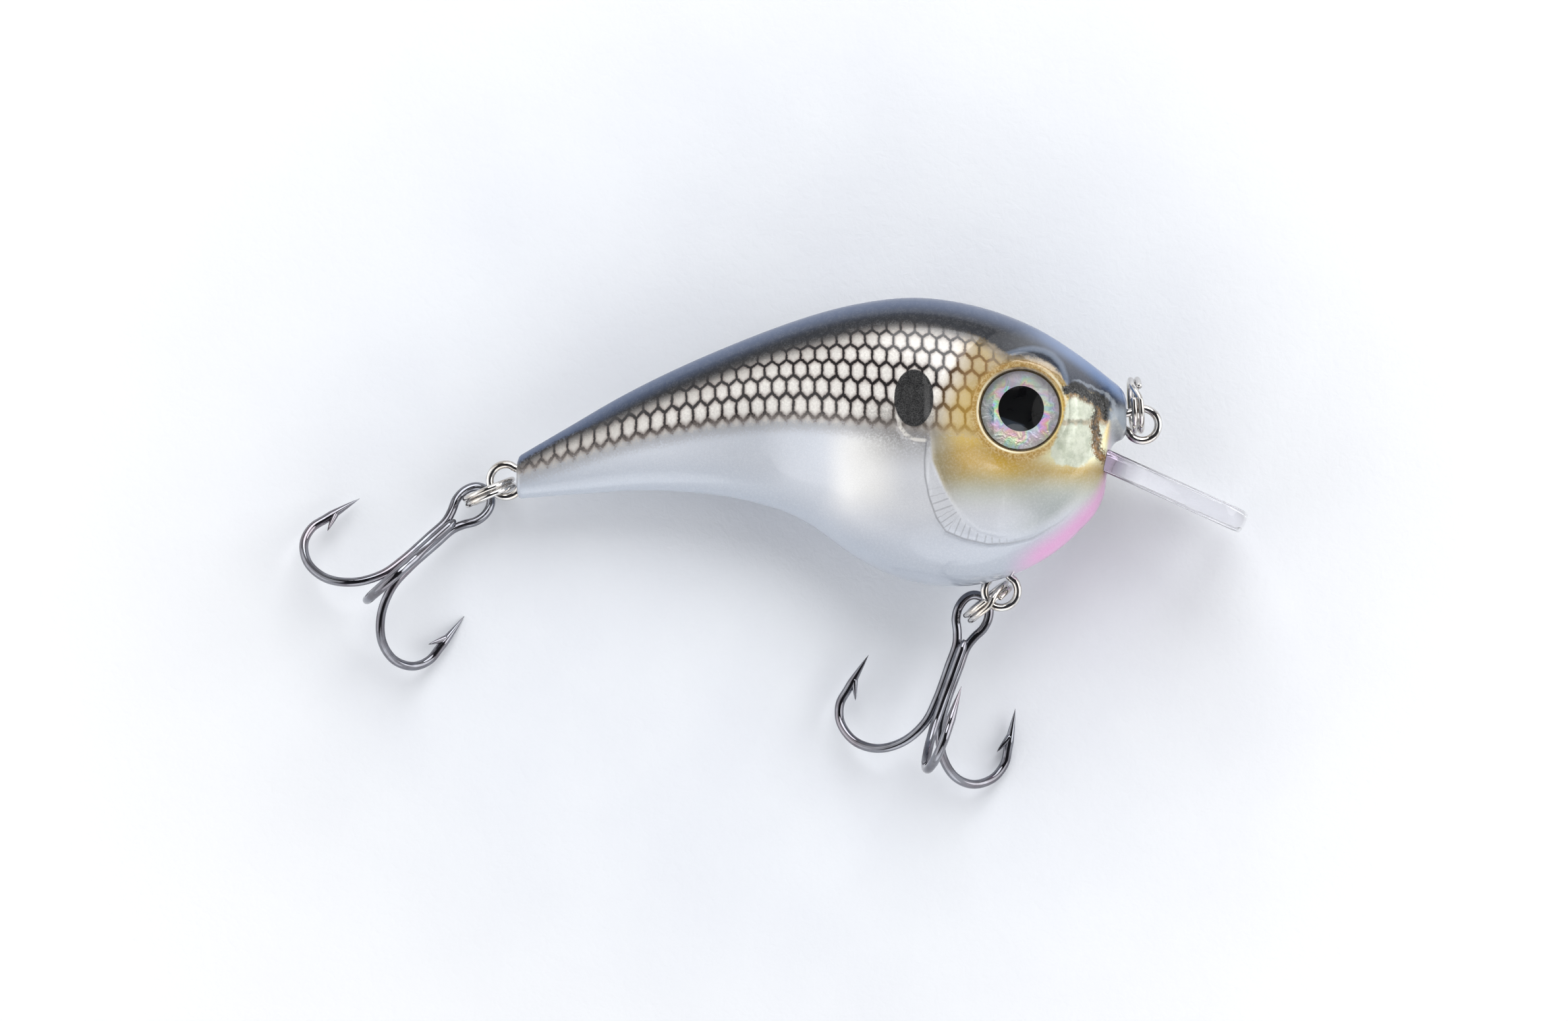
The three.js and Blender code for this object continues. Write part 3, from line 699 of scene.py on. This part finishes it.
    # the gill spot, and fine lines in the gill cover
    spotX = calc(tree, "DIVIDE", less(tree, x, 43.15), 2.14)
    spotY = calc(tree, "DIVIDE", less(tree, y, 9.35), 3.12)
    spot = calc(tree, "SQRT", add(tree, product(tree, spotX, spotX), product(tree, spotY, spotY)))
    spotArea = fadeOut(tree, add(tree, spot, product(tree, sootWobble, 0.05)), 0.97, 1.02)
    colour = tint(tree, spotArea, colour,
                  tint(tree, fade(tree, grain, 0.4, 0.62), srgb(20, 20, 21), srgb(44, 44, 43)))
    # a painted highlight along the raised edge by the crease below the gill spot
    creaseHighlight = product(tree, fadeOut(tree, crease, 0.08, 0.3), fade(tree, spot, 1.0, 1.06))
    colour = tint(tree, product(tree, creaseHighlight, 0.6), colour, srgb(244, 240, 232))
    edgeLine = product(tree, fadeOut(tree, calc(tree, "ABSOLUTE", gillOut), 0.04, 0.14),
                       fadeOut(tree, gillAlong, 0.6, 0.95))
    spokes = apart(tree, calc(tree, "FRACT", product(tree, gillAlong, 34)), 0.5)
    spokes = product(tree, fadeOut(tree, spokes, 0.06, 0.14), fadeOut(tree, gillIn, -0.1, 0.02),
                     fade(tree, gillOut, 0.0, 0.1), fade(tree, gillAlong, 0.18, 0.3),
                     fadeOut(tree, gillAlong, 0.6, 0.75))
    fine = larger(tree, product(tree, edgeLine, 0.45), product(tree, spokes, 0.35))
    colour = tint(tree, fine, colour, srgb(112, 112, 118))

    colour = tint(tree, fade(tree, grain, 0.3, 0.7, 0.0, 0.1, "LINEAR"), colour, srgb(120, 120, 124))
    dark = larger(tree, backArea, spotArea)
    glitter = product(tree, fade(tree, soot, 0.45, 0.75, 0.0, 0.14, "LINEAR"),
                      fade(tree, dark, 0, 1, 1.0, 0.3))
    glitter = product(tree, glitter, fadeOut(tree, product(tree, outline, scaleArea), 0, 1))
    colour = tint(tree, glitter, colour, srgb(255, 255, 255))
    tree.links.new(colour, shader.inputs["Base Color"])
    matt = larger(tree, product(tree, backArea, 0.45), larger(tree, black, rust))
    tree.links.new(fade(tree, matt, 0, 1, 1.0, 0.2, "LINEAR"), shader.inputs["Coat Weight"])
    tree.links.new(fade(tree, larger(tree, dark, rust), 0, 1, 0.22, 0.0), shader.inputs["Metallic"])
    tree.links.new(fade(tree, soot, 0.2, 0.8, 0.36, 0.5, "LINEAR"), shader.inputs["Roughness"])
    height = add(tree, product(tree, rows.outputs["Inside"], scaleArea, 0.4), product(tree, grain, 0.04))
    tree.links.new(raised(tree, height, 0.3, 0.0001), shader.inputs["Normal"])
    return made


def metalMaterial(name, bright, dull, glow, roughness, scale):
    made, tree, shader = material(name, Metallic=1.0)
    place = atObject(tree)
    worn = speckle(tree, place, scale, 3, 0.6)
    fine = speckle(tree, place, scale * 9, 2)
    colour = tint(tree, fade(tree, worn, 0.35, 0.65), bright, dull)
    colour = tint(tree, fade(tree, speckle(tree, place, scale * 0.6, 1), 0.45, 0.7, 0.0, 0.6), colour, glow)
    tree.links.new(colour, shader.inputs["Base Color"])
    tree.links.new(fade(tree, fine, 0.3, 0.7, roughness * 0.7, roughness * 1.5, "LINEAR"),
                   shader.inputs["Roughness"])
    tree.links.new(raised(tree, fine, 0.05, 0.00002), shader.inputs["Normal"])
    return made


def clearMaterial(name, colour, ior, roughness, rootShade=None):
    made, tree, shader = material(name, IOR=ior, Transmission_Weight=1.0)
    fine = speckle(tree, atObject(tree), 1400, 2)
    tree.links.new(fade(tree, fine, 0.3, 0.7, roughness * 0.5, roughness * 1.6, "LINEAR"),
                   shader.inputs["Roughness"])
    cast = tint(tree, fade(tree, fine, 0.3, 0.7, 0.0, 0.15), colour,
                tuple(c * 0.97 for c in colour[:3]) + (1,))
    if rootShade:  # painted shade, deeper where the plate is buried in the snout
        cast = tint(tree, fade(tree, read(tree, "along")[0], 1.0, 5.0), rootShade, cast)
    tree.links.new(cast, shader.inputs["Base Color"])
    return made


def foilMaterial():  # holographic foil behind the lens: a square pattern made bright by a painted reflection, rainbow bands painted as reflections of its facets, and the pupil
    made, tree, shader = material("eyeFoil", Specular_IOR_Level=0.3)
    x, y, r = read(tree, "aroundEye")
    place = atObject(tree)
    swirl = speckle(tree, place, 420, 2, 0.5, 1.5)
    streak = speckle(tree, place, 1500, 2, 0.6, 0.5)
    turn = calc(tree, "ARCTAN2", y, x)
    hueNode = tree.nodes.new("ShaderNodeCombineColor")
    hueNode.mode = "HSV"
    hue = add(tree, product(tree, turn, 0.64), product(tree, r, 0.42))
    wire(tree, hueNode.inputs[0],
         calc(tree, "FRACT", add(tree, add(tree, hue, 3.1), product(tree, swirl, 2.1))))
    hueNode.inputs[1].default_value = 0.6
    hueNode.inputs[2].default_value = 1.0
    jitter = product(tree, less(tree, swirl, 0.5), 0.7)
    across = calc(tree, "ABSOLUTE", add(tree, less(tree, x, 0.08), jitter))
    above = add(tree, y, add(tree, jitter, product(tree, x, x, 0.03)))
    square = product(tree, fadeOut(tree, across, 2.72, 2.86), fadeOut(tree, above, 2.4, 2.55))
    outside = tint(tree, fade(tree, add(tree, y, x), -4, 3), srgb(186, 190, 186), srgb(212, 208, 216))
    teal = product(tree, fade(tree, x, -3.5, -2.8), fadeOut(tree, x, -2.7, -2.4), fade(tree, y, -2.2, -0.4),
                   fadeOut(tree, y, 0.2, 1.2))
    outside = tint(tree, teal, outside, srgb(30, 110, 120))
    outside = tint(tree, fade(tree, streak, 0.5, 0.62, 0.0, 0.45), outside, srgb(214, 214, 212))
    lowSide = fade(tree, y, -1.6, -2.8)
    # the square's bright colour is a painted reflection
    inner = tint(tree, fade(tree, swirl, 0.4, 0.6), srgb(255, 252, 246), srgb(240, 244, 250))
    colour = tint(tree, square, outside, inner)
    # rainbow bands: painted reflections of the foil's facets
    facets = calc(tree, "SINE", add(tree, product(tree, turn, 5.0), product(tree, swirl, 9.0)))
    rainbowReflection = larger(tree, product(tree, square, fade(tree, facets, -0.6, 0.7, 0.04, 0.75)),
                   product(tree, fade(tree, r, 3.1, 3.9, 0.5, 0.1), fade(tree, facets, -0.9, 0.4, 0.9, 0.2)))
    edgeGlow = product(tree, fade(tree, x, 0.5, 2.4), fade(tree, y, 0.2, 2.0))
    rainbowReflection = product(tree, rainbowReflection, less(tree, 1.0, product(tree, edgeGlow, 0.75)))
    colour = tint(tree, rainbowReflection, colour, hueNode.outputs[0])
    colour = tint(tree, product(tree, lowSide, 0.35), colour, srgb(205, 205, 202))
    colour = tint(tree, fade(tree, r, 3.8, 4.15, 0.0, 0.45), colour, srgb(96, 98, 92))
    px, py = less(tree, x, 0.08), less(tree, y, 0.16)
    pupilR = calc(tree, "SQRT", add(tree, product(tree, px, px), product(tree, py, py)))
    pupil = fadeOut(tree, pupilR, 2.32, 2.38)
    cap = product(tree, fadeOut(tree, add(tree, y, product(tree, x, 0.35)), -1.45, -1.3),
                  fade(tree, x, 0.6, 0.2))
    pupilTone = tint(tree, product(tree, cap, 0.8), srgb(2, 3, 5), srgb(52, 62, 74))
    colour = tint(tree, pupil, colour, pupilTone)
    tree.links.new(colour, shader.inputs["Base Color"])
    tree.links.new(fade(tree, pupil, 0, 1, 0.2, 0.0), shader.inputs["Metallic"])
    tree.links.new(fade(tree, swirl, 0.3, 0.7, 0.25, 0.4), shader.inputs["Roughness"])
    tilted = raised(tree, product(tree, streak, less(tree, 1.0, pupil)), 0.7, 0.0003)
    tree.links.new(tilted, shader.inputs["Normal"])
    return made


def gapShadeMaterial():  # the gap round the lens, painted dark as the shade in it
    made, tree, shader = material("eyeGapShade", Roughness=0.4)
    cloud = speckle(tree, atObject(tree), 700, 3)
    tree.links.new(tint(tree, fade(tree, cloud, 0.35, 0.65), srgb(62, 50, 30), srgb(104, 84, 48)),
                   shader.inputs["Base Color"])
    return made


scaleRows = scaleGroup()
paint = paintMaterial()
plainPlastic, tree, shader = material("shellInside", Roughness=0.5)
tree.links.new(tint(tree, speckle(tree, atObject(tree), 400), srgb(206, 206, 200), srgb(190, 190, 186)),
               shader.inputs["Base Color"])
nickel = metalMaterial("brightNickel", srgb(222, 221, 220), srgb(200, 196, 192), srgb(204, 194, 182), 0.08,
                       700)
blackNickel = metalMaterial("blackNickel", srgb(138, 140, 147), srgb(112, 111, 117), srgb(138, 128, 134),
                            0.07, 300)
slugMetal = metalMaterial("castSlug", srgb(120, 122, 126), srgb(90, 92, 96), srgb(100, 100, 98), 0.5, 900)
ballSteel = metalMaterial("bearingSteel", srgb(190, 192, 196), srgb(170, 172, 176), srgb(182, 182, 180),
                          0.08, 900)
billClear = clearMaterial("clearBill", (0.88, 0.875, 0.9, 1), 1.45, 0.02, (0.14, 0.1, 0.17, 1))
domeClear = clearMaterial("clearDome", (0.99, 0.99, 0.99, 1), 1.3, 0.01)
foil = foilMaterial()
# painted shade for the gap round the lens
groove = gapShadeMaterial()

skin = skinMesh()
for word, side in (("right", 1), ("left", -1)):
    name = word + "_shell_painted"
    piece = finishedObject(name, onFlank(skin, name, side), "lure_body", [paint, plainPlastic],
                           [word + "_shell"])
    wall = piece.modifiers.new("wall", "SOLIDIFY")
    wall.thickness = body["wall"] * mm
    wall.offset = -1
    wall.material_offset = 1
print("shells")

# ---- eyes

eyeMiddle = Matrix.Translation((eye["x"], eye["y"], 0))


def lipHeight(co):  # the lip follows the flank, rounded over at the lens and sunk under the skin outside
    r = math.hypot(co.x, co.y)
    if co.z < 8:
        return co.z
    z = eye["rim"] + relief(eye["x"] + co.x, eye["y"] + co.y, eye["rim"]) * smooth(4.4, 5.2, r)
    roll = max(0.0, 4.62 - r) / 0.34
    return z + 0.05 - 0.34 * (1 - math.sqrt(max(0.0, 1 - min(roll, 1) ** 2))) - 0.12 * smooth(5.0, 5.35, r)


lipProfile = [(4.28, 7.3), (4.28, 8.2), (4.3, 8.3), (4.34, 8.4), (4.4, 8.5), (4.48, 8.5), (4.56, 8.5),
              (4.66, 8.5), (4.8, 8.5), (4.95, 8.5), (5.1, 8.5), (5.2, 8.5), (5.35, 8.5), (5.3, 7.3)]
gapProfile = [(4.05, 7.3), (4.45, 7.3), (4.45, 7.75), (4.05, 7.75)]
foilProfile = [(0, 7.2), (4.1, 7.2), (4.12, 7.4), (4.05, 7.58), (3.2, 7.54), (2.2, 7.51), (0, 7.5)]
domeProfile = [(0, 7.65), (4.05, 7.65), (eye["lens"], 7.75), (eye["lens"], eye["lensFoot"])]
domeProfile += [(eye["lens"] * math.cos(a), eye["lensFoot"] + eye["lensRise"] * math.sin(a))
                for a in [i * math.pi / 28 for i in range(1, 14)]]
domeProfile += [(0, 9.35)]  # the top of the dome
eyeParts = [  # ending of the name, mesh, material, ending of the CAD node it replaces
    ("_eye_lip", spunMesh(lipProfile, 120, lipHeight), paint, ""),
    ("_eye_gap", spunMesh(gapProfile, 96), groove, ""),
    ("_eye_iris", spunMesh(foilProfile, 96), foil, "_eye_foil"),
    ("_eye_lens", spunMesh(domeProfile, 96), domeClear, "_eye_dome"),
]
for word, side in (("right", 1), ("left", -1)):
    for ending, form, finish, node in eyeParts:
        laid = onFlank(form, word + ending, side, eyeMiddle)
        finishedObject(word + ending, laid, "lure_body", [finish], [word + node] if node else ())
print("eyes")

# ---- wire parts

eyeletWire = 0.87
ringWire = 0.65
ringRadius = 2.8
ringSteps = 220
hookWire = 1.0
eyelets = {
    "nose": {"outer": (67.8, 6.4), "inner": (62.7, 7.7), "outerRadius": 1.73, "innerRadius": 1.35},
    "belly": {"outer": (52.6, -11.55), "inner": (52, -6.6), "outerRadius": 1.8, "innerRadius": 1.5},
    "tail": {"outer": (-1.35, 0.4), "inner": (3.7, 1.5), "outerRadius": 1.76, "innerRadius": 1.15},
}


def wireMesh(name, runs, place):  # runs of (points, radii)
    bm = bmesh.new()
    for points, radii in runs:
        sweptWire(bm, points, radii)
    bmesh.ops.recalc_face_normals(bm, faces=bm.faces)
    return meshFrom(bm, name, place)


def eyeletRun(spec):
    dx, dy = (b - a for a, b in zip(spec["outer"], spec["inner"]))
    length, turn = math.hypot(dx, dy), math.atan2(dy, dx)
    neck = eyeletWire / 2 + 0.06
    neckAt = (spec["outerRadius"] + length - spec["innerRadius"]) / 2
    points = []

    def loop(centre, radius, start, end, count):
        for i in range(count + 1):
            a = math.radians(mix(start, end, i / count))
            points.append((centre + radius * math.cos(a), radius * math.sin(a)))

    loop(length, spec["innerRadius"], 15, 140, 5)
    points.append((neckAt, neck))
    loop(0, spec["outerRadius"], 38, 322, 12)
    points.append((neckAt, -neck))
    loop(length, spec["innerRadius"], 220, 345, 5)
    lay = Matrix.Translation((*spec["outer"], 0)) @ Matrix.Rotation(turn, 4, "Z")
    route, _ = roundedRoute([lay @ Vector((a, b, 0)) for a, b in points], 150)
    return route, [eyeletWire / 2] * len(route)


for word, spec in eyelets.items():
    mesh = wireMesh(word + "_eyelet_wire", [eyeletRun(spec)], lure)
    finishedObject(word + "_eyelet_wire", mesh, "lure_body", [nickel], [word + "_eyelet"])

rings = {
    "nose": {"middle": (67.15, 8.5, 9.15), "bearing": 94.2, "jog": 60},
    "belly": {"middle": (51.25, -12.75, 7.8), "bearing": 39.4, "jog": 80},
    "tail": {"middle": (-3, -0.87, 3.62), "bearing": 23, "jog": 200},
}
for word, spec in rings.items():
    pitch = ringWire + 0.06
    turns = []
    for i in range(ringSteps + 1):
        degrees = mix(14, 706, i / ringSteps)
        a = math.radians(degrees + spec["jog"])
        turns.append(Vector((ringRadius * math.cos(a), ringRadius * math.sin(a),
                             mix(-pitch / 2, pitch / 2, smooth(335, 385, degrees)))))
    stand = Matrix.Rotation(math.radians(spec["bearing"]), 4, "Z") @ Matrix.Rotation(math.pi / 2, 4, "X")
    mesh = wireMesh(word + "_ring_wire", [(turns, [ringWire / 2] * len(turns))],
                    lying @ Matrix.Translation(spec["middle"]) @ stand)
    finishedObject(word + "_ring_wire", mesh, word + "_ring", [nickel], [word + "_split_ring"])
print("eyelets and rings")

shank = 0.62
doubleSteps = 420
singleSteps = 200
hookLine = [(shank, -6), (shank, -10), (1, -12.8), (2.6, -15.5), (5.2, -17.2), (8.1, -17.3), (10.4, -15.9),
            (11.2, -14), (10.9, -12.2), (10.45, -10), (10, -7.95)]
eyeHalf = [(-0.57, -3.6), (-0.98, -2.3), (-1.6, -1), (-1.72, 0.3), (-1.3, 1.5), (-0.55, 2.1)]
hookBearing = {"left": 210, "right": 330, "front": 90}
trebles = {
    "belly": {"middle": (49.7, -14.2, 6.45), "bearing": 70, "rise": -2.3, "roll": 5.5},
    "tail": {"middle": (-4.9, -2.15, 2.85), "bearing": 42.5, "rise": -17.5, "roll": 3.8},
}


def onBearing(bearing, out, along):
    a = math.radians(bearing)
    return Vector((out * math.cos(a), along, out * math.sin(a)))


def hookRadii(count, length, bothEnds):
    radii = []
    for i in range(count + 1):
        fromEnd = (min(i, count - i) if bothEnds else count - i) / count * length
        radii.append(hookWire / 2 * max(0.06, min(1, fromEnd / 3.6) ** 0.8))
    return radii


def barbRun(bearing):  # a sliver cut up from the spear, leaning back to the shank
    lean = math.radians(18)
    barb = 1.9
    base = onBearing(bearing, 10.62, -10.9)
    point = onBearing(bearing, 10.2 - barb * math.sin(lean), -11.3 - barb * math.cos(lean))
    return [base.lerp(point, i / 8) for i in range(9)], [0.4 * (1 - i / 8) ** 0.7 + 0.012 for i in range(9)]


for word, spec in trebles.items():
    turn = [Matrix.Rotation(math.radians(a), 4, axis)
            for a, axis in ((spec["bearing"] - 90, "Z"), (spec["rise"], "X"), (spec["roll"], "Y"))]
    place = lying @ Matrix.Translation(spec["middle"]) @ turn[0] @ turn[1] @ turn[2]
    left, right, front = [[onBearing(hookBearing[k], *p) for p in hookLine]
                          for k in ("left", "right", "front")]
    eyeLoop = [Vector((x, y, -shank / 2)) for x, y in eyeHalf + [(-x, y) for x, y in reversed(eyeHalf)]]
    route, length = roundedRoute(left[::-1] + eyeLoop + right, doubleSteps)
    runs = [(route, hookRadii(doubleSteps, length, True)), barbRun(hookBearing["left"]),
            barbRun(hookBearing["right"])]
    name = word + "_double_hook_wire"
    finishedObject(name, wireMesh(name, runs, place), word + "_treble", [blackNickel],
                   [word + "_treble_double_hook"])
    route, length = roundedRoute([onBearing(90, shank, -2.9)] + front, singleSteps)
    radii = hookRadii(singleSteps, length, False)
    for i in range(6):
        radii[i] *= math.sqrt((i + 1) / 7)
    braze = [Vector((0, -3.3 - 0.4 * i, 0.02)) for i in range(19)]
    runs = [(route, radii), barbRun(hookBearing["front"]), (braze, [0.3, 0.5] + [0.6] * 15 + [0.5, 0.3])]
    name = word + "_single_hook_wire"
    finishedObject(name, wireMesh(name, runs, place), word + "_treble", [blackNickel],
                   [word + "_treble_single_hook"])
print("hooks")

# ---- the bill

bill = {"rootX": 63.5, "rootY": 2.7, "slope": -24.6, "thickness": 2.4, "length": 16.4, "halfWidth": 9.2,
        "tang": -3.1, "root": 3.4, "neck": 4.2, "shoulder": 7.6, "corner": 3, "parting": 0.12}
half = [(bill["tang"], bill["root"]), (0, bill["root"]), (0.6, bill["neck"]),
        (bill["shoulder"], bill["halfWidth"])]
for i in range(9):
    a = math.radians(90 * (1 - i / 8))
    half.append((bill["length"] - bill["corner"] * (1 - math.cos(a)),
                 bill["halfWidth"] - bill["corner"] * (1 - math.sin(a))))
half += [(bill["length"] + 0.3, bill["halfWidth"] / 3)]
bm = bmesh.new()
corners = half + [(x, -y) for x, y in reversed(half)]
outline = [bm.verts.new((x, y, -bill["thickness"] / 2)) for x, y in corners]
face = bm.faces.new(outline)
grown = bmesh.ops.extrude_face_region(bm, geom=[face])["geom"]
bmesh.ops.translate(bm, verts=[g for g in grown if isinstance(g, bmesh.types.BMVert)],
                    vec=(0, 0, bill["thickness"]))
bmesh.ops.recalc_face_normals(bm, faces=bm.faces)
bmesh.ops.bisect_plane(bm, geom=bm.verts[:] + bm.edges[:] + bm.faces[:], dist=1e-5, plane_co=(0, 0, 0),
                       plane_no=(0, 0, 1))
for v in bm.verts:  # the mould's parting line stands out round the middle of the edge
    if abs(v.co.z) < 1e-4:
        v.co.x *= 1 + bill["parting"] / bill["length"]
        v.co.y *= 1 + bill["parting"] / bill["halfWidth"]
rimEdges = [e for e in bm.edges
            if abs(e.verts[0].co.z - e.verts[1].co.z) < 1e-6 and abs(e.verts[0].co.z) > 1e-4]
bmesh.ops.bevel(bm, geom=rimEdges, offset=0.45, offset_type="OFFSET", segments=4, profile=0.5, affect="EDGES",
                material=-1)
slope = math.radians(bill["slope"])
ahead = Vector((math.cos(slope), math.sin(slope), 0))
across = Vector((0, 0, 1))
axes = Matrix((ahead, across, ahead.cross(across))).transposed().to_4x4()
alongBill = [value for v in bm.verts for value in (v.co.x, v.co.y, 0)]
mesh = meshFrom(bm, "bill_plate", lure @ Matrix.Translation((bill["rootX"], bill["rootY"], 0)) @ axes)
mesh.attributes.new("along", "FLOAT_VECTOR", "POINT").data.foreach_set("vector", alongBill)
finishedObject("bill_plate", mesh, "lure_body", [billClear], ["diving_bill"])
print("bill")

# ---- what is inside keeps its own mesh

for name, finish in [("ballast_slug", slugMetal)] + [(f"rattle_ball_{i}", ballSteel) for i in (1, 2, 3)]:
    frame["nodes"][name].data.materials.clear()
    frame["nodes"][name].data.materials.append(finish)
